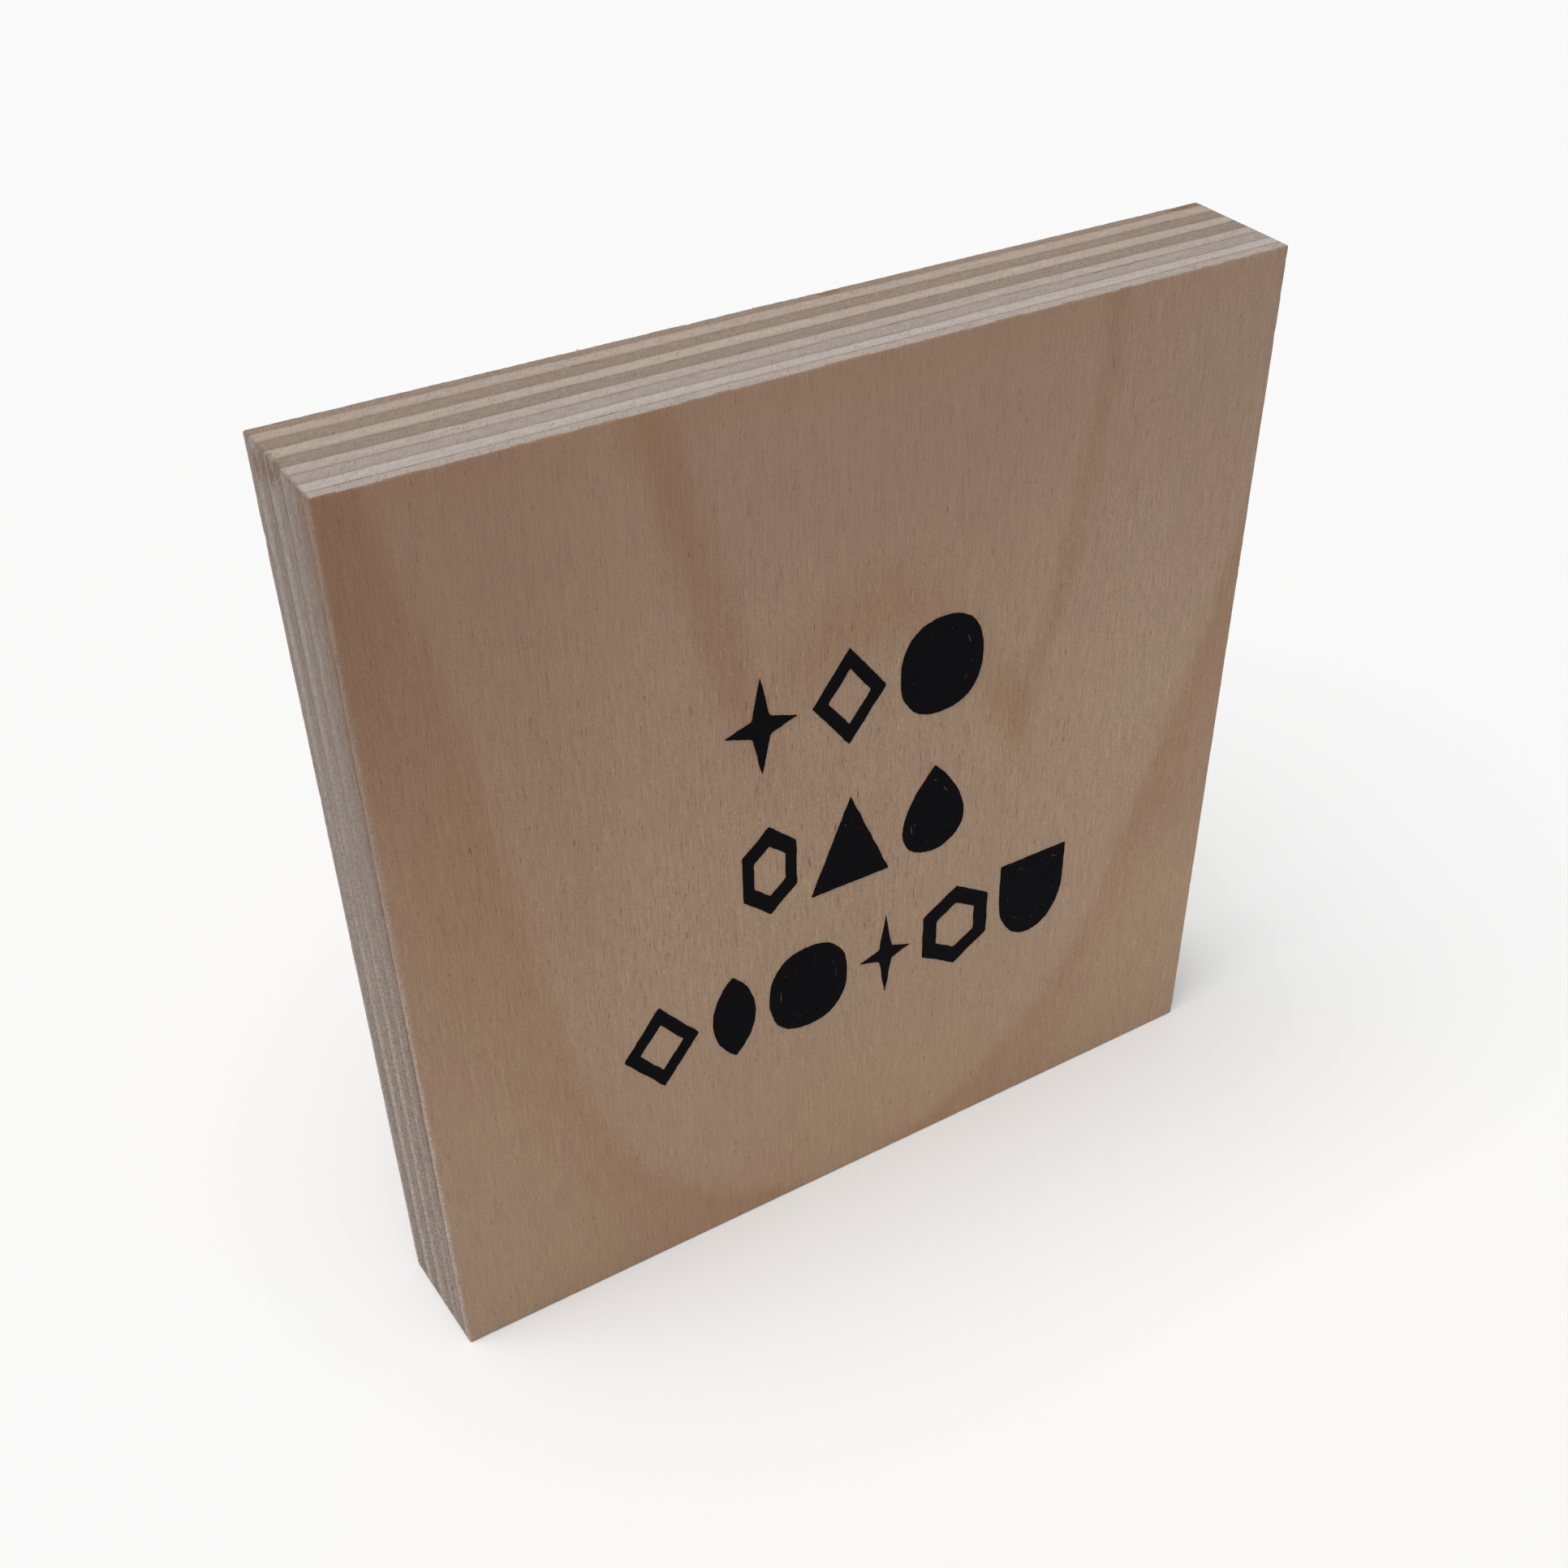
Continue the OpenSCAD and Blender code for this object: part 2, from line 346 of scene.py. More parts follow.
def back_finish():
    """Back veneer: plainer upright grain under nested arches of summer growth, with dark pores,
    pale flecks and the faint cross scuffs of a life on a shelf; the flecks are painted brighter as
    glints."""
    wood = Finish("back veneer, sanded")
    x, z = wood.x, wood.z
    grain = wood.noise((0.14, 3, 4), 31, 3, 0.65)
    streaks = wood.noise((0.8, 3, 26), 32, 3, 0.6)
    bands = wood.noise((7, 9, 120), 33)
    cloud = wood.noise((18, 9, 24), 36)
    nap = wood.noise((0.09, 1, 0.16), 38, 1)
    drift = (wood.noise((16, 9, 40), 34) - 0.5) * 9 + (wood.noise((0.8, 3, 12), 39) - 0.5) * 1.6
    height_left = wood.node("ShaderNodeMath", {"operation": "MAXIMUM"}, {0: 92 - z, 1: 0.1})
    figure = abs(x + 6 + drift) - 5.2 * height_left ** 0.42
    patchy = 0.4 + wood.noise((4, 5, 18), 40)
    orange = wood.hump(figure, 0, 2.6) * 0.9 + wood.hump(figure, 8, 2.1) * 0.7
    orange = (orange + wood.hump(figure, -8, 2.2) * 0.6 + wood.hump(figure, 15, 3) * 0.4) * patchy
    pores = wood.rise(wood.noise((0.12, 3, 1.8), 35, 1), 0.73, 0.79)
    # Painted highlight: pale flecks of fibre, made brighter as glints.
    shine = wood.rise(wood.noise((0.1, 3, 1.2), 37, 1), 0.73, 0.8)
    scuffs = wood.rise(wood.noise((5, 3, 0.14), 45, 1), 0.74, 0.82) * wood.rise(cloud, 0.5, 0.62)
    colour = wood.mix(wood.rise(z, 10, 84), (0.43, 0.30, 0.20), (0.385, 0.262, 0.178))
    colour = wood.tint(wood.rise(cloud, 0.42, 0.6), colour, (0.97, 0.94, 0.95))
    colour = wood.tint(orange, colour, (0.93, 0.83, 0.74))
    colour = wood.tint(pores, colour, (0.62, 0.47, 0.4))
    # Pale flecks, brightened as painted glints.
    colour = wood.tint(shine, colour, (1.25, 1.22, 1.14))
    light = (1 + (grain - 0.5) * 0.6 + (nap - 0.5) * 0.4 + (streaks - 0.5) * 0.2
             + (bands - 0.5) * 0.12 + scuffs * 0.05)
    height = grain * 0.7 + streaks * 0.3 + nap * 0.2 - pores * 0.8 - scuffs * 0.3
    return wood.coat(wood.shade(colour, light), 0.62 + (grain - 0.5) * 0.2, height, 0.02, 0.22)


def resin_finish():
    """Hardened glue at the joints: brown in stretches, elsewhere smeared over with wood."""
    resin = Finish("glue line resin")
    bare = resin.rise(resin.noise((4, 0.8, 4), 41, 3, 0.7), 0.52, 0.68)
    colour = resin.mix(bare, (0.37, 0.295, 0.24), (0.22, 0.165, 0.125))
    return resin.coat(colour, 0.6 + bare * 0.15, bare, 0.01, 0.2)


def film_finish():
    """Matte black film: faint pebbling, the grain beneath telling through, a haze of dust."""
    film = Finish("matte black film")
    pebble = film.noise((0.16, 0.16, 0.16), 51, 2)
    under = film.noise((0.3, 3, 7), 52, 3, 0.6)
    haze = film.rise(film.noise((3.5, 3, 3.5), 53, 3, 0.6), 0.45, 0.75)
    specks = film.rise(film.noise((0.16, 1, 0.16), 54, 1), 0.8, 0.86)
    colour = film.mix(haze * 0.3, (0.0032, 0.0032, 0.0044), (0.0058, 0.0055, 0.0062))
    colour = film.mix(specks * 0.1, colour, (0.09, 0.085, 0.08))
    return film.coat(colour, 0.6 + haze * 0.15 + (pebble - 0.5) * 0.1,
                     pebble * 0.5 + under * 0.6, 0.012, 0.03)


def dust_finish():
    """Pale wood dust and loose fibre."""
    dust = Finish("wood dust")
    tone = dust.noise((1.2, 1.2, 1.2), 61)
    colour = dust.mix(tone, (0.35, 0.30, 0.25), (0.6, 0.53, 0.45))
    return dust.coat(colour, 0.85 + tone * 0.1, tone, 0.005, 0.1)


# ------------------------------------------------------------- the block
def millimetres(node):
    """Lowest and highest corner of a CAD node, in millimetres."""
    low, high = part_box(node)
    return np.array(low) / MM, np.array(high) / MM


def ripple(places, wavelengths, seed, waves=24):
    """Smooth random waves, mostly within -1 and 1, over places given as columns."""
    rng = np.random.default_rng(seed)
    places = np.asarray(places, float)
    rates = rng.normal(size=(waves, places.shape[1])) / np.asarray(wavelengths)
    phases = rng.uniform(0, 2 * math.pi, waves)
    return np.sin(places @ rates.T * 2 * math.pi + phases).sum(1) / math.sqrt(waves * 2)


class Outline:
    """Stations round the board's sawn edges, anticlockwise seen from the front."""

    def __init__(self):
        low, high = millimetres(PLIES[0])
        self.half = (high[0] - low[0]) / 2
        self.surfaces = low[1], millimetres(PLIES[-1])[1][1]
        self.middle = np.array([(low[0] + high[0]) / 2, (low[2] + high[2]) / 2])
        straight = self.half - CORNER_R
        steps = 2 * round(straight / EDGE_STEP)
        bend = np.linspace(-math.pi / 4, 0, CORNER_STEPS, endpoint=False)
        turns = np.concatenate([bend, np.zeros(steps + 1), -bend[:0:-1]])
        reach = np.concatenate([-np.ones(CORNER_STEPS), np.linspace(-1, 1, steps + 1),
                                np.ones(CORNER_STEPS - 1)])
        quarter = [np.array(v) for v in ((1, 0), (0, 1), (-1, 0), (0, -1))]
        self.ahead = np.repeat(quarter, len(turns), axis=0)
        self.out = np.repeat([quarter[k - 1] for k in range(4)], len(turns), axis=0)
        self.turn, self.reach = np.tile(turns, 4)[:, None], np.tile(reach, 4)[:, None]
        self.normals = self.out * np.cos(self.turn) + self.ahead * np.sin(self.turn)
        self.count = len(self.normals)
        self.cells = steps // 2
        self.side_start = [k * len(turns) + CORNER_STEPS for k in range(4)]
        self.flat = np.ones(self.count)
        self.points = self.ring(0, 0)[:, [0, 2]]
        self.run = np.cumsum(np.linalg.norm(self.points - np.roll(self.points, 1, 0), axis=1))
        self.facing_x, self.facing_z = self.normals[:, 0] ** 2, self.normals[:, 1] ** 2

    def ring(self, depth, inset):
        """One loop of points at a depth, inset from the nominal edge."""
        inset = np.reshape(inset, (-1, 1))
        radius = np.maximum(CORNER_R - inset, 0.04)
        straight = self.half - inset - radius
        flat = (self.middle + self.ahead * (self.reach * straight + radius * np.sin(self.turn))
                + self.out * (straight + radius * np.cos(self.turn)))
        return np.column_stack([flat[:, 0], np.broadcast_to(depth, self.count), flat[:, 1]])


outline = Outline()


def new_piece(name, points, faces, finishes, nodes=(), marks=None):
    """A mesh piece that rides on the block. Its points are in millimetres, nodes are the CAD
    nodes that it stands for, and marks are values at its points for the finishes to read."""
    mesh = bpy.data.meshes.new(name)
    mesh.from_pydata((np.asarray(points) * MM).tolist(), [], faces)
    mesh.shade_smooth()
    for key, values in (marks or {}).items():
        mesh.attributes.new(key, "FLOAT", "POINT").data.foreach_set("value", values)
    for finish in finishes:
        mesh.materials.append(finish)
    piece = bpy.data.objects.new(name, mesh)
    bpy.context.scene.collection.objects.link(piece)
    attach(piece, "root")
    if nodes:
        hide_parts(*nodes)
    return piece


def slab(rings, open_front=False, open_back=False):
    """Points and faces of a slab through the rings, front to back, with plain glued ends."""
    count, rows = outline.count, len(rings)
    faces = [(r * count + k, (r + 1) * count + k,
              (r + 1) * count + (k + 1) % count, r * count + (k + 1) % count)
             for r in range(rows - 1) for k in range(count)]
    if not open_front:
        faces.append(tuple(range(count)))
    if not open_back:
        faces.append(tuple(range(rows * count - 1, (rows - 1) * count - 1, -1)))
    return np.vstack(rings), faces


def sanded_cap(points, faces, ring_start, surface, inward):
    """Closes a slab's open end with a grid that has the faint washboard of sanding. Each
    cell at the grid's border meets two stations of the ring, and its corners fan out."""
    cells, first = outline.cells, len(points)
    ring = points[ring_start:ring_start + outline.count]
    low, high = ring.min(0), ring.max(0)
    margin = EDGE_STEP
    across = np.linspace(low[0] + margin, high[0] - margin, cells + 1)
    up = np.linspace(low[2] + margin, high[2] - margin, cells + 1)
    x, z = (v.ravel() for v in np.meshgrid(across, up))
    wash = 0.004 * (1 + np.clip(ripple(np.column_stack([x, z]), (3, 60), 21), -1, 1))
    points = np.vstack([points, np.column_stack([x, surface + inward * wash, z])])
    node = np.arange(first, first + (cells + 1) ** 2).reshape(cells + 1, cells + 1)
    made = [(a, b, c, d) for a, b, c, d in zip(
        node[:-1, :-1].ravel(), node[:-1, 1:].ravel(), node[1:, 1:].ravel(), node[1:, :-1].ravel())]
    borders = [node[0], node[:, -1], node[-1, ::-1], node[::-1, 0]]
    for side, border in enumerate(borders):
        start = ring_start + outline.side_start[side]
        for k in range(cells):
            a, b, f = border[k], border[k + 1], start + 2 * k
            made += [(a, f, f + 1), (a, f + 1, b), (b, f + 1, f + 2)]
        for k in range(2 * CORNER_STEPS):
            f = start + 2 * cells + k
            last = ring_start + (f - ring_start) % outline.count
            made.append((border[-1], last, ring_start + (f + 1 - ring_start) % outline.count))
    if inward < 0:
        made = [face[::-1] for face in made]
    return points, faces + [tuple(int(k) for k in face) for face in made]


def glue_depth(i):
    """Depth of the middle of glue line i all round the edge, and half its thickness."""
    low, high = millimetres(GLUE_LINES[i - 1])
    sway = ripple(outline.points, (34, 34), 100 + i) + 0.4 * ripple(outline.points, (8, 8), 200 + i)
    return (low[1] + high[1]) / 2 + WAVE * sway, (high[1] - low[1]) / 2


def sawn_inset(depth, end_share, seed):
    """How deep the saw cut: its marks run right across, end grain is torn, long grain combed."""
    places = np.column_stack([outline.run, np.broadcast_to(depth, outline.count)])
    strokes = 0.01 * ripple(places @ [[1], [0.9]], (1.1,), 7)
    torn = 0.012 + 0.014 * ripple(places, (0.7, 0.4), seed)
    combed = 0.01 * ripple(places, (9, 0.3), seed + 50)
    return np.clip(SAW_DEPTH + strokes + end_share * torn + (1 - end_share) * combed, 0, None)


def arris_rings(surface, inward, end_share, seed):
    """Rings from the flat surface round a sanded arris, with chips where fibres broke out."""
    rng = np.random.default_rng(seed)
    radius = ARRIS_R * (1 + 0.14 * ripple(outline.points, (5, 5), seed))
    for _ in range(CHIPS):
        place, width = rng.uniform(0, outline.run[-1]), rng.uniform(0.2, 0.8)
        depth = rng.uniform(0.03, 0.14)
        radius = radius + depth * np.clip(1 - ((outline.run - place) / width) ** 2, 0, None)
    base = sawn_inset(surface + inward * ARRIS_R, end_share, seed)
    rings = [outline.ring(surface, base + radius + 0.03)]
    for angle in np.linspace(0, math.pi / 2, ARRIS_STEPS + 1)[:-1]:
        rings.append(outline.ring(surface + inward * 0.8 * radius * (1 - math.cos(angle)),
                                  base + radius * (1 - math.sin(angle))))
    return rings


def ply_piece(i, finishes):
    """One ply: a closed slab with sawn edges and slightly wavy glued surfaces."""
    name, first, last = PLIES[i], i == 0, i == len(PLIES) - 1
    low, high = millimetres(name)
    end_share = outline.facing_z if i % 2 == 0 else outline.facing_x
    front, back = low[1] * outline.flat, high[1] * outline.flat
    if not first:
        middle, half = glue_depth(i)
        front = middle + half
    if not last:
        middle, half = glue_depth(i + 1)
        back = middle - half
    rings, through = [], []
    if first:
        rings = arris_rings(low[1], 1, end_share, 300)
    rim = ARRIS_R * 1.5 / (high[1] - low[1])
    for t in np.linspace(rim if first else 0, 1 - rim if last else 1, PLY_STEPS + 1):
        depth = front + t * (back - front)
        eased = 0.01 * (t == 0 or t == 1)
        rings.append(outline.ring(depth, sawn_inset(depth, end_share, 300 + i) + eased))
    if last:
        rings += arris_rings(high[1], -1, end_share, 320)[::-1]
    if not first:
        rings.insert(0, outline.ring(low[1], HIDDEN_RIM))
    if not last:
        rings.append(outline.ring(high[1], HIDDEN_RIM))
    points, faces = slab(rings, open_front=first, open_back=last)
    if first:
        points, faces = sanded_cap(points, faces, 0, low[1], 1)
    if last:
        points, faces = sanded_cap(points, faces, len(rings[0]) * (len(rings) - 1), high[1], -1)
    sawn = len(rings) * outline.count
    front_all, thick_all = np.tile(front, len(rings)), np.tile(back - front, len(rings))
    marks = {
        "through": np.clip((points[:sawn, 1] - front_all) / thick_all, 0, 1),
        "end_grain": np.tile(end_share, len(rings)),
        "slant": np.tile(outline.facing_z, len(rings)) * (points[:sawn, 0] - 0.6 * points[:sawn, 1])
        + np.tile(outline.facing_x, len(rings)) * (points[:sawn, 2] + points[:sawn, 1] + 200)}
    marks = {key: np.append(values, np.zeros(len(points) - sawn)) for key, values in marks.items()}
    piece = new_piece(f"{name}_wood", points, faces, finishes, [name], marks)
    if first or last:
        show_edge_finish(piece, low[1] if first else high[1])
    return piece


def show_edge_finish(piece, surface):
    """Gives the second finish to the sawn edge of an outer veneer, past its rounded arris."""
    for face in piece.data.polygons:
        away = abs(face.center.y / MM - surface)
        face.material_index = int(away > ARRIS_R * 0.35 and abs(face.normal.y) < 0.75)


def glue_piece(i, finish):
    """The resin between two plies, a little back from the sawn edge."""
    name = GLUE_LINES[i - 1]
    low, high = millimetres(name)
    middle, half = glue_depth(i)
    inset = SAW_DEPTH + RESIN_DEPTH + 0.008 * ripple(outline.points, (3, 3), 400 + i)
    points, faces = slab([
        outline.ring(low[1], HIDDEN_RIM), outline.ring(middle - half, inset),
        outline.ring(middle + half, inset), outline.ring(high[1], HIDDEN_RIM)])
    return new_piece(f"{name}_resin", points, faces, [finish], [name])


# -------------------------------------------------------------- the film
def cad_outlines(node):
    """The closed outlines of a film node's front, as rows of x and z in millimetres."""
    shape = bmesh.new()
    shape.from_mesh(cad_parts[node].data)
    bmesh.ops.remove_doubles(shape, verts=shape.verts, dist=1e-7)
    following = {}
    for face in shape.faces:
        if face.normal.y < -0.9:
            for loop in face.loops:
                if all(f.normal.y > -0.9 for f in loop.edge.link_faces if f != face):
                    following[loop.vert] = loop.link_loop_next.vert
    outlines = []
    while following:
        start, vert = next(iter(following.items()))
        del following[start]
        path = [start]
        while vert != start:
            path.append(vert)
            vert = following.pop(vert)
        outlines.append(np.array([(v.co.x, v.co.z) for v in path]) / MM)
    shape.free()
    return outlines


def facing(path):
    """Which way a closed outline's points face: to the right of the way ahead."""
    ahead = np.roll(path, -1, 0) - np.roll(path, 1, 0)
    return np.column_stack([ahead[:, 1], -ahead[:, 0]]) / np.linalg.norm(ahead, axis=1)[:, None]


def swept(a, b):
    """The cross product of flat vectors: the area that they span."""
    return a[..., 0] * b[..., 1] - a[..., 1] * b[..., 0]


def untangled(path):
    """A closed outline without the tiny loops where its sides cross at a sharp corner."""
    count, kept, path = len(path), np.ones(len(path), bool), path.copy()
    ahead = np.roll(path, -1, 0) - path
    apart, bend = path - path[:, None], swept(ahead[:, None], ahead)
    bend[bend == 0] = np.inf
    reach, other = swept(apart, ahead) / bend, swept(apart, ahead[:, None]) / bend
    crossings = np.nonzero((reach > 0) & (reach < 1) & (other > 0) & (other < 1))
    places = [path[i] + reach[i, j] * ahead[i] for i, j in zip(*crossings)]
    for i, j, place in zip(*crossings, places):
        loop = (j - i) % count
        if loop < count / 2:
            kept[(i + 2 + np.arange(loop - 1)) % count] = False
            path[(i + 1) % count] = place
    return path[kept]


def hand_cut(path, grow):
    """The outline as a knife leaves it: its corners are a little round, its sides a little
    unsteady, and fine burrs stand out where the knife crossed the grain. An outline that
    grows into its cut has no burrs."""
    closed = np.vstack([path, path[:1]])
    lengths = np.concatenate([[0], np.cumsum(np.linalg.norm(np.diff(closed, axis=0), axis=1))])
    steps = np.linspace(0, lengths[-1], int(lengths[-1] / OUTLINE_STEP), endpoint=False)
    fine = np.column_stack([np.interp(steps, lengths, closed[:, k]) for k in range(2)])
    offsets = np.arange(-6, 7)
    weights = np.exp(-(offsets / CUT_ROUNDING) ** 2 / 2)
    fine = sum(w * np.roll(fine, s, 0) for w, s in zip(weights / weights.sum(), offsets))
    outward = facing(fine)
    shake = CUT_SHAKE * ripple(fine, (3, 3), 500) + 0.35 * CUT_SHAKE * ripple(fine, (0.5, 0.5), 501)
    burr = np.abs(outward[:, 1]) * np.clip(ripple(fine * [1, 0], (0.22, 1), 502) - 0.2, 0, 1)
    burr = 0 if grow else CUT_BURR * burr
    return untangled(untangled(fine + outward * (shake + burr + grow)[:, None]))


def pressed_edge(cut):
    """The outline drawn in by the width of its pressed edge, and by less in narrow tips."""
    outward = facing(cut)
    gaps = np.linalg.norm(cut - cut[:, None], axis=2)
    gaps[outward @ outward.T > 0.3] = np.inf
    return cut - outward * np.minimum(CUT_BEVEL, 0.12 * gaps.min(1))[:, None]


def film_piece(node, finish):
    """A film shape or island, cut out of thin sheet, with its edges pressed down."""
    high = millimetres(node)[1]
    island = node.startswith("island_")
    has_island = node.replace("film_", "island_") in FILM
    paths = sorted(cad_outlines(node), key=lambda path: -np.ptp(path[:, 1]))
    back, front = high[1], high[1] - FILM_T
    points, faces, loops, edges = [], [], [], []
    for path in paths:
        closed_up = island or (has_island and path is not paths[0])
        cut = hand_cut(path, CUT_CLOSE if closed_up else 0)
        count, start = len(cut), len(points)
        for place, depth in ((cut, back), (cut, front + CUT_BEVEL), (pressed_edge(cut), front)):
            points += [(x, depth, z) for x, z in place]
        for row in (start, start + count):
            faces += [(row + k, row + (k + 1) % count, row + count + (k + 1) % count, row + count + k)
                      for k in range(count)]
        loop = list(range(len(edges), len(edges) + count))
        loops.append(loop if path is paths[0] else loop[::-1])
        edges += [(start + k, count) for k in range(count)]
    for lift in (2, 0):
        rows = [place + lift * count for place, count in edges]
        flat = [Vector((points[k][0], points[k][2])) for k in rows]
        _, _, triangles, came_from, _, owners = delaunay_2d_cdt(flat, [], loops, 1, 1e-9)
        corners = [rows[known[0]] for known in came_from]
        for triangle, owner in zip(triangles, owners):
            if len(owner) == 1:
                face = tuple(corners[k] for k in triangle)
                faces.append(face if lift else face[::-1])
    piece = new_piece(f"{node}_cut", points, faces, [finish], [node])
    piece.data.shade_flat()
    return piece


# ---------------------------------------------------------- loose fibres
def scatter_tree(name, bow):
    """A node tree that strews small shapes over a flat patch: bowed fibres, or flakes."""
    made = Tree()
    made.tree = bpy.data.node_groups.new(name, "GeometryNodeTree")
    face = made.tree.interface
    face.new_socket("Patch", in_out="INPUT", socket_type="NodeSocketGeometry")
    for key, kind in (("Density", "Float"), ("Seed", "Int"), ("Shortest", "Float"),
                      ("Longest", "Float"), ("Least Turn", "Vector"), ("Most Turn", "Vector"),
                      ("Material", "Material")):
        face.new_socket(key, in_out="INPUT", socket_type=f"NodeSocket{kind}")
    face.new_socket("Result", in_out="OUTPUT", socket_type="NodeSocketGeometry")
    given = made.tree.nodes.new("NodeGroupInput")
    ask = {socket.name: Wire(made, socket) for socket in given.outputs if socket.name}

    places = made.node("GeometryNodeDistributePointsOnFaces", {"distribute_method": "RANDOM"}, {
        "Mesh": ask["Patch"], "Density": ask["Density"], "Seed": ask["Seed"]})
    turn = made.node("FunctionNodeRandomValue", {"data_type": "FLOAT_VECTOR"}, {
        0: ask["Least Turn"], 1: ask["Most Turn"], "Seed": ask["Seed"] + 1})
    length = made.node("FunctionNodeRandomValue", {"data_type": "FLOAT"}, {
        2: ask["Shortest"], 3: ask["Longest"], "Seed": ask["Seed"] + 2}, output=1)
    if bow:
        spine = made.node("GeometryNodeCurveQuadraticBezier", None, {
            "Resolution": 5, "Start": (-0.5, 0, 0), "Middle": (0, bow, 0.03), "End": (0.5, 0, 0)})
        along = made.node("GeometryNodeSplineParameter") * 2 - 1
        spine = made.node("GeometryNodeSetCurveRadius", None, {
            "Curve": spine, "Radius": 1.1 - along ** 2})
        rim = made.node("GeometryNodeCurvePrimitiveCircle", None, {"Resolution": 5, "Radius": FIBRE_R})
        shape = made.node("GeometryNodeCurveToMesh", None, {
            "Curve": spine, "Profile Curve": rim, "Fill Caps": True})
    else:
        ball = made.node("GeometryNodeMeshIcoSphere", None, {"Radius": 0.5, "Subdivisions": 1})
        rough = made.node("ShaderNodeTexNoise", {"noise_dimensions": "3D"}, {"Scale": 2.5})
        shape = made.node("GeometryNodeSetPosition", None, {
            "Geometry": ball, "Offset": made.node("ShaderNodeCombineXYZ", None, {
                0: rough - 0.5, 1: 0.4 - rough * 0.8})})
        shape = made.node("GeometryNodeTransform", None, {"Geometry": shape, "Scale": (1, 0.6, 0.16)})
    strewn = made.node("GeometryNodeInstanceOnPoints", None, {
        "Points": places, "Instance": shape, "Rotation": turn, "Scale": length})
    real = made.node("GeometryNodeRealizeInstances", None, {"Geometry": strewn})
    result = made.node("GeometryNodeSetMaterial", None, {
        "Geometry": real, "Material": ask["Material"]})
    shown = made.tree.nodes.new("NodeGroupOutput")
    made.feed(shown.inputs["Result"], result)
    return made.tree


def strew(tree, corners, onto, material, **wanted):
    """Strews patches given by four corners each, in millimetres, and moves the result on to
    the block: onto gives the patches' across, up and outward axes, and their origin."""
    patch = bpy.data.meshes.new("patch")
    count = len(corners) // 4
    patch.from_pydata([(x, y, 0) for x, y in corners], [],
                      [tuple(range(4 * k, 4 * k + 4)) for k in range(count)])
    host = bpy.data.objects.new("patch", patch)
    bpy.context.scene.collection.objects.link(host)
    modifier = host.modifiers.new("strew", "NODES")
    modifier.node_group = tree
    names = {item.name: item.identifier for item in tree.interface.items_tree}
    for key, value in dict(wanted, Material=material).items():
        modifier[names[key.replace("_", " ")]] = value
    view = bpy.context.evaluated_depsgraph_get()
    mesh = bpy.data.meshes.new_from_object(host.evaluated_get(view))
    host.modifiers.remove(modifier)
    bpy.data.objects.remove(host)
    points = np.empty(len(mesh.vertices) * 3)
    mesh.vertices.foreach_get("co", points)
    faces = [tuple(face.vertices) for face in mesh.polygons]
    bpy.data.meshes.remove(mesh)
    *axes, origin = (np.array(v, float) for v in onto)
    if np.linalg.det(axes) < 0:
        faces = [face[::-1] for face in faces]
    return points.reshape(-1, 3) @ np.array(axes) + origin, faces


def strewn_piece(name, parts, finish):
    """One piece out of several strewn patches, kept inside the block's nominal box."""
    points, faces, start = [], [], 0
    for some_points, some_faces in parts:
        faces += [tuple(k + start for k in face) for face in some_faces]
        points.append(some_points)
        start += len(some_points)
    low, high = np.array(cad_low) / MM, np.array(cad_high) / MM
    points = np.clip(np.vstack(points), low + INSIDE, high - INSIDE)
    return new_piece(name, points, faces, [finish])


def rectangle(low, high):
    """The corners of a rectangular patch."""
    return [low, (high[0], low[1]), high, (low[0], high[1])]


def loose_fibres(finish):
    """Fine fibres that the saw left lying on the sawn edges, thickest low on the sides, and
    fibres that stand a little proud of the sanded face round the motif."""
    tree = scatter_tree("fibres", FIBRE_BOW)
    (left, _, bottom), (right, back, top) = np.array(cad_low) / MM, np.array(cad_high) / MM
    face = millimetres(PLIES[0])[0][1]
    reach, bed = back - MARGIN, SAW_DEPTH + BED_DEPTH
    parts = []
    for side, x, side_seed in ((-1, left + bed, 0), (1, right - bed, 3)):
        onto, lean = ((0, 0, 1), (0, side, 0), (side, 0, 0), (x, 0, bottom)), -0.8 * side
        for start, end, density in ((0.5, 34, 1.3), (34, 60, 0.8), (60, 86.5, 0.35)):
            parts.append(strew(
                tree, rectangle((start, -reach), (end, reach)), onto, finish, Density=density,
                Seed=side_seed + int(start), Shortest=0.2, Longest=1.0,
                Least_Turn=(0, -0.03, lean - 0.35), Most_Turn=(0, 0.03, lean + 0.35)))
    patch = rectangle((left + 0.5, -reach), (right - 0.5, reach))
    for out, z, seed, density in ((1, top - bed, 11, 0.35), (-1, bottom + bed, 12, 0.2)):
        parts.append(strew(
            tree, patch, ((1, 0, 0), (0, out, 0), (0, 0, out), (0, 0, z)), finish,
            Density=density, Seed=seed, Shortest=0.3, Longest=1.1,
            Least_Turn=(0, -0.03, 0.7), Most_Turn=(0, 0.03, 1.4)))
    parts.append(strew(
        tree, rectangle((-34, 14), (40, 74)), ((1, 0, 0), (0, 0, 1), (0, -1, 0), (0, face, 0)),
        finish, Density=0.05, Seed=21, Shortest=0.25, Longest=0.9,
        Least_Turn=(0, -0.01, 1.5), Most_Turn=(0, 0.01, 1.64)))
    return strewn_piece("saw_fibres", parts, finish)


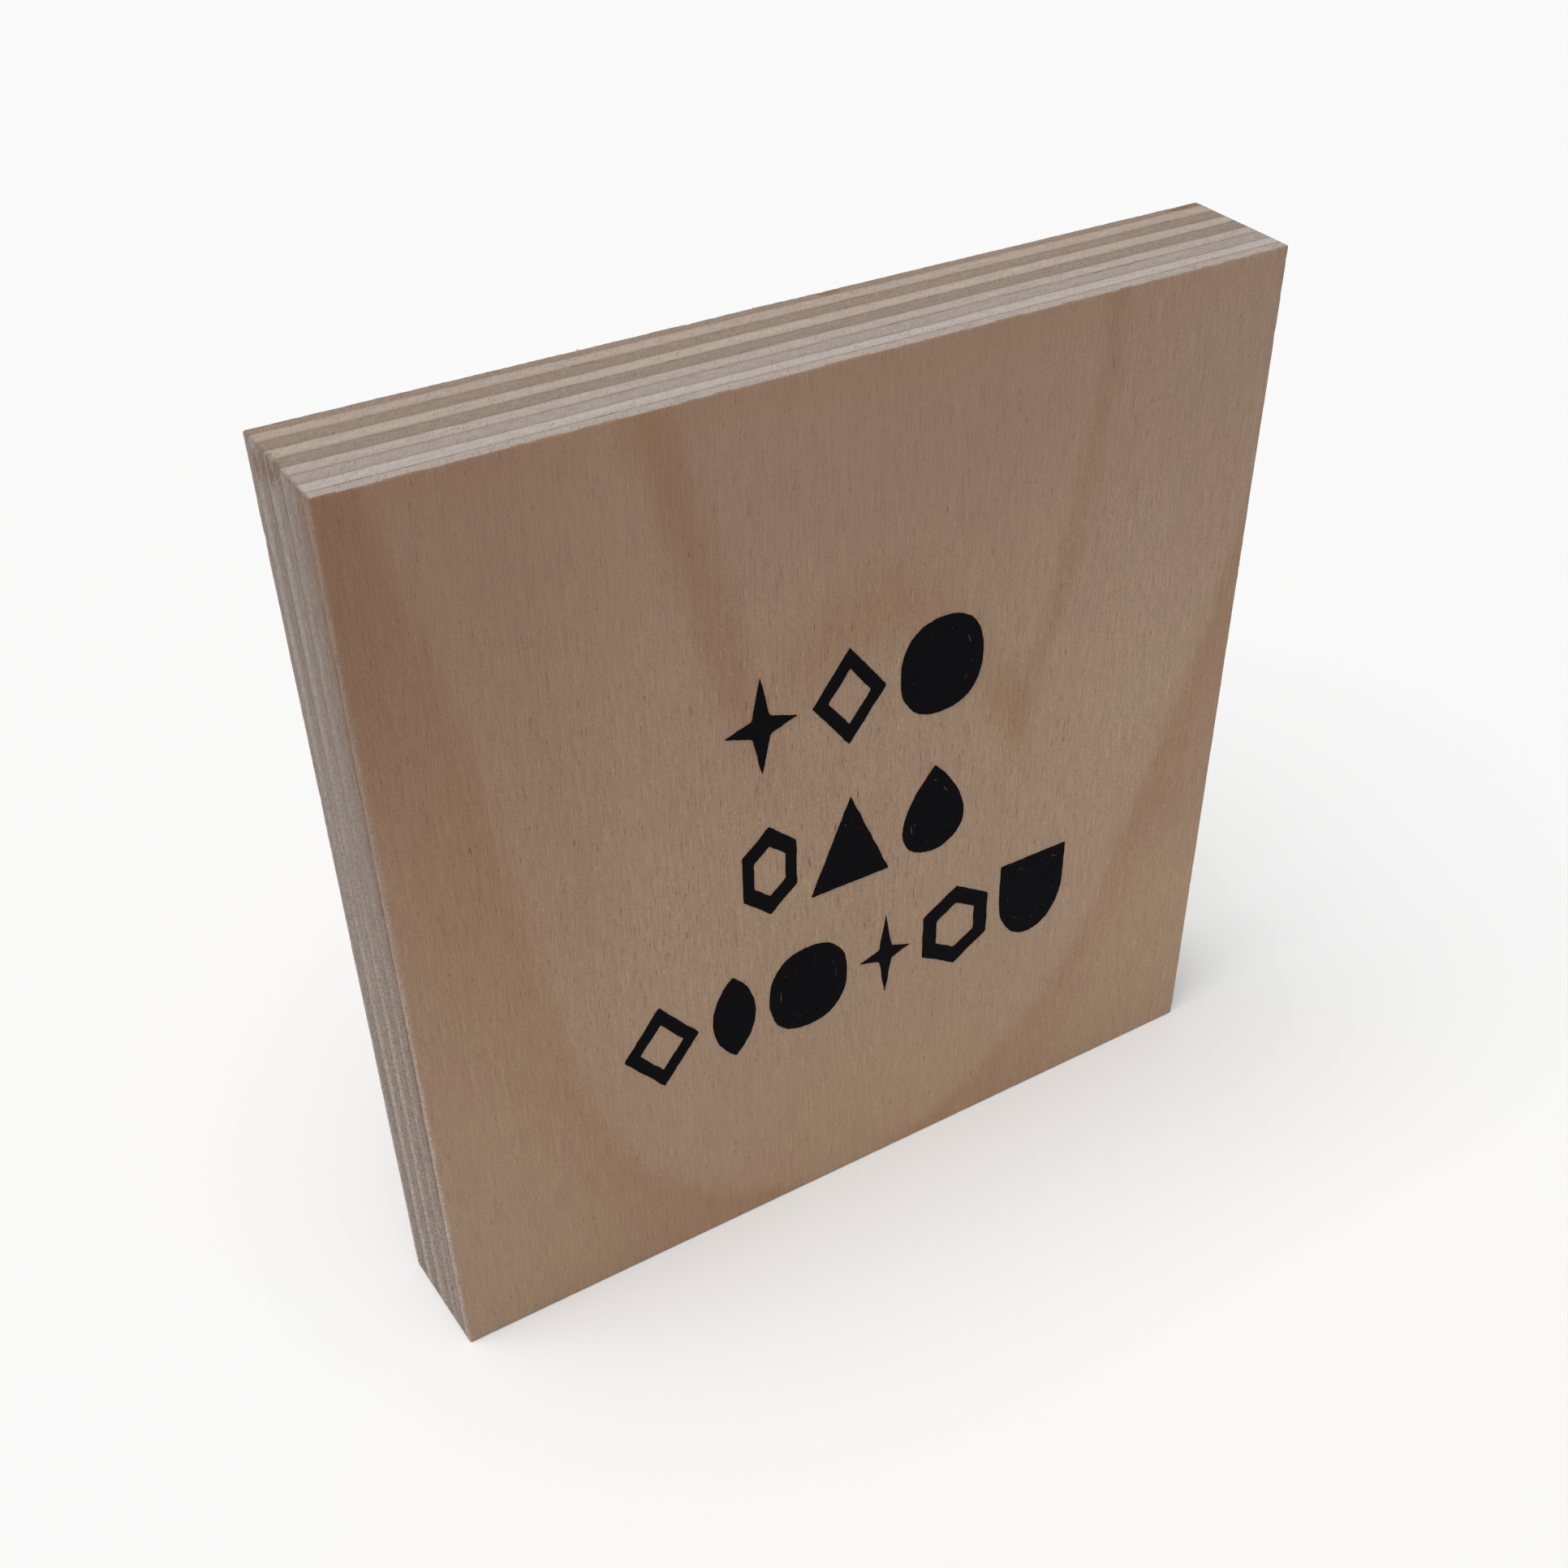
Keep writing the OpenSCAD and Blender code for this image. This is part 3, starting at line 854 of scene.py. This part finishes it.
def film_dust(finish):
    """A few specks of dust caught beside the islands' cuts."""
    tree = scatter_tree("specks", 0)
    stride = 6
    corners = []
    for node in FILM:
        if node.startswith("island_"):
            cut = hand_cut(cad_outlines(node)[0], 0)
            near, far = cut - facing(cut) * 0.25, cut + facing(cut) * 0.3
            for k in range(0, len(cut) - stride, stride):
                corners += [near[k], far[k], far[k + stride], near[k + stride]]
    film_front = millimetres(FILM[0])[1][1] - FILM_T
    parts = [strew(tree, corners, ((1, 0, 0), (0, 0, 1), (0, -1, 0), (0, film_front, 0)), finish,
                   Density=0.06, Seed=5, Shortest=0.05, Longest=0.13,
                   Least_Turn=(0, 0, 0), Most_Turn=(0, 0, 6))]
    return strewn_piece("film_specks", parts, finish)


# ------------------------------------------------------------- the stage
def camera():
    """The camera, from its place, its aim and its roll."""
    data = bpy.data.cameras.new("camera")
    data.lens, data.sensor_width = LENS, 36
    data.shift_x, data.shift_y = SHIFT
    data.clip_start, data.clip_end = 0.01, 20
    made = bpy.data.objects.new("camera", data)
    bpy.context.scene.collection.objects.link(made)
    place = Vector(CAMERA_AT)
    ahead = (Vector(CAMERA_AIM) - place).normalized()
    right = ahead.cross(Vector((0, 0, 1))).normalized()
    right = Matrix.Rotation(-math.radians(CAMERA_ROLL), 3, ahead) @ right
    axes = Matrix((right, right.cross(ahead), -ahead)).transposed()
    made.matrix_world = Matrix.Translation(place) @ axes.to_4x4()
    bpy.context.scene.camera = made


def sun(name, come_from, strength, softness):
    """A soft distant light that comes from the direction given."""
    data = bpy.data.lights.new(name, "SUN")
    data.energy, data.angle = strength, math.radians(softness)
    made = bpy.data.objects.new(name, data)
    bpy.context.scene.collection.objects.link(made)
    made.rotation_euler = Vector(come_from).to_track_quat("Z", "Y").to_euler()


def floor():
    """A wide plain pale floor under the block."""
    size = 6
    mesh = bpy.data.meshes.new("floor")
    mesh.from_pydata([(-size, -size, 0), (size, -size, 0), (size, size, 0), (-size, size, 0)],
                     [], [(0, 1, 2, 3)])
    paint = bpy.data.materials.new("pale floor")
    paint.use_nodes = True
    shader = paint.node_tree.nodes["Principled BSDF"]
    shader.inputs["Base Color"].default_value = (BACKDROP, BACKDROP, BACKDROP, 1)
    shader.inputs["Roughness"].default_value = 0.9
    shader.inputs["Specular IOR Level"].default_value = 0
    mesh.materials.append(paint)
    made = bpy.data.objects.new("floor", mesh)
    bpy.context.scene.collection.objects.link(made)


def sky():
    """An even, dim sky for fill, which looks as pale as the floor where it shows."""
    world = bpy.data.worlds.new("studio")
    bpy.context.scene.world = world
    world.use_nodes = True
    tree = Tree()
    tree.tree = world.node_tree
    background = world.node_tree.nodes["Background"]
    seen = tree.node("ShaderNodeLightPath")
    tree.feed(background.inputs["Strength"], SKY_STRENGTH + seen * (BACKDROP - SKY_STRENGTH))
    background.inputs["Color"].default_value = (1, 1, 1, 1)


camera()
sun("key light", KEY_FROM, KEY_STRENGTH, 60)
sky()
floor()
bpy.context.scene.view_settings.view_transform = "Standard"

# Colours of each ply's sawn edges: on the top, and at the foot and the head of the sides.
# Foot against head is painted light and shade: more light from the floor at the foot, and a sheen that
# changes with height.
SAWN_COLOURS = {
    "face_veneer": ((0.414, 0.352, 0.318), (0.44, 0.358, 0.305), (0.30, 0.214, 0.163)),
    "crossband_1": ((0.469, 0.414, 0.375), (0.355, 0.272, 0.226), (0.303, 0.227, 0.187)),
    "core_1": ((0.375, 0.312, 0.282), (0.363, 0.294, 0.251), (0.30, 0.236, 0.20)),
    "crossband_2": ((0.433, 0.367, 0.317), (0.313, 0.247, 0.205), (0.342, 0.276, 0.238)),
    "core_2": ((0.303, 0.231, 0.190), (0.412, 0.34, 0.292), (0.308, 0.242, 0.206)),
    "crossband_3": ((0.439, 0.363, 0.305), (0.313, 0.248, 0.207), (0.376, 0.32, 0.283)),
    "core_3": ((0.302, 0.228, 0.187), (0.432, 0.358, 0.309), (0.294, 0.234, 0.201)),
    "crossband_4": ((0.423, 0.343, 0.284), (0.302, 0.239, 0.207), (0.384, 0.322, 0.287)),
    "back_veneer": ((0.309, 0.228, 0.181), (0.38, 0.315, 0.272), (0.335, 0.268, 0.232))}
# Small brown flaws on the sawn edges: x, z, reach along each, depth of colour
FLAWS = {"back_veneer": [(4.5, 87, 1.4, 1.4, 1), (41.1, 87, 2, 1.4, 1)],
         "core_2": [(-43.5, 86.4, 1, 1, 0.7)],
         "crossband_3": [(-43.5, 86, 1, 1.5, 0.95)],
         "core_3": [(-43.5, 85.6, 1, 1, 0.7)],
         "crossband_4": [(-43.5, 85.2, 1, 1.4, 0.85)]}

face_sides = {"face_veneer": veneer_finish(), "back_veneer": back_finish()}
for i, ply in enumerate(PLIES):
    sawn = sawn_finish(f"{ply}, sawn", 10 + 6 * i, i % 2 == 0, *SAWN_COLOURS[ply],
                       stain=1 if ply == "crossband_1" else 0, flaws=FLAWS.get(ply, ()))
    finishes = [face_sides[ply], sawn] if ply in face_sides else [sawn]
    ply_piece(i, finishes)
resin = resin_finish()
for i in range(1, len(PLIES)):
    glue_piece(i, resin)
black = film_finish()
for node in FILM:
    film_piece(node, black)
dust = dust_finish()
loose_fibres(dust)
film_dust(dust)
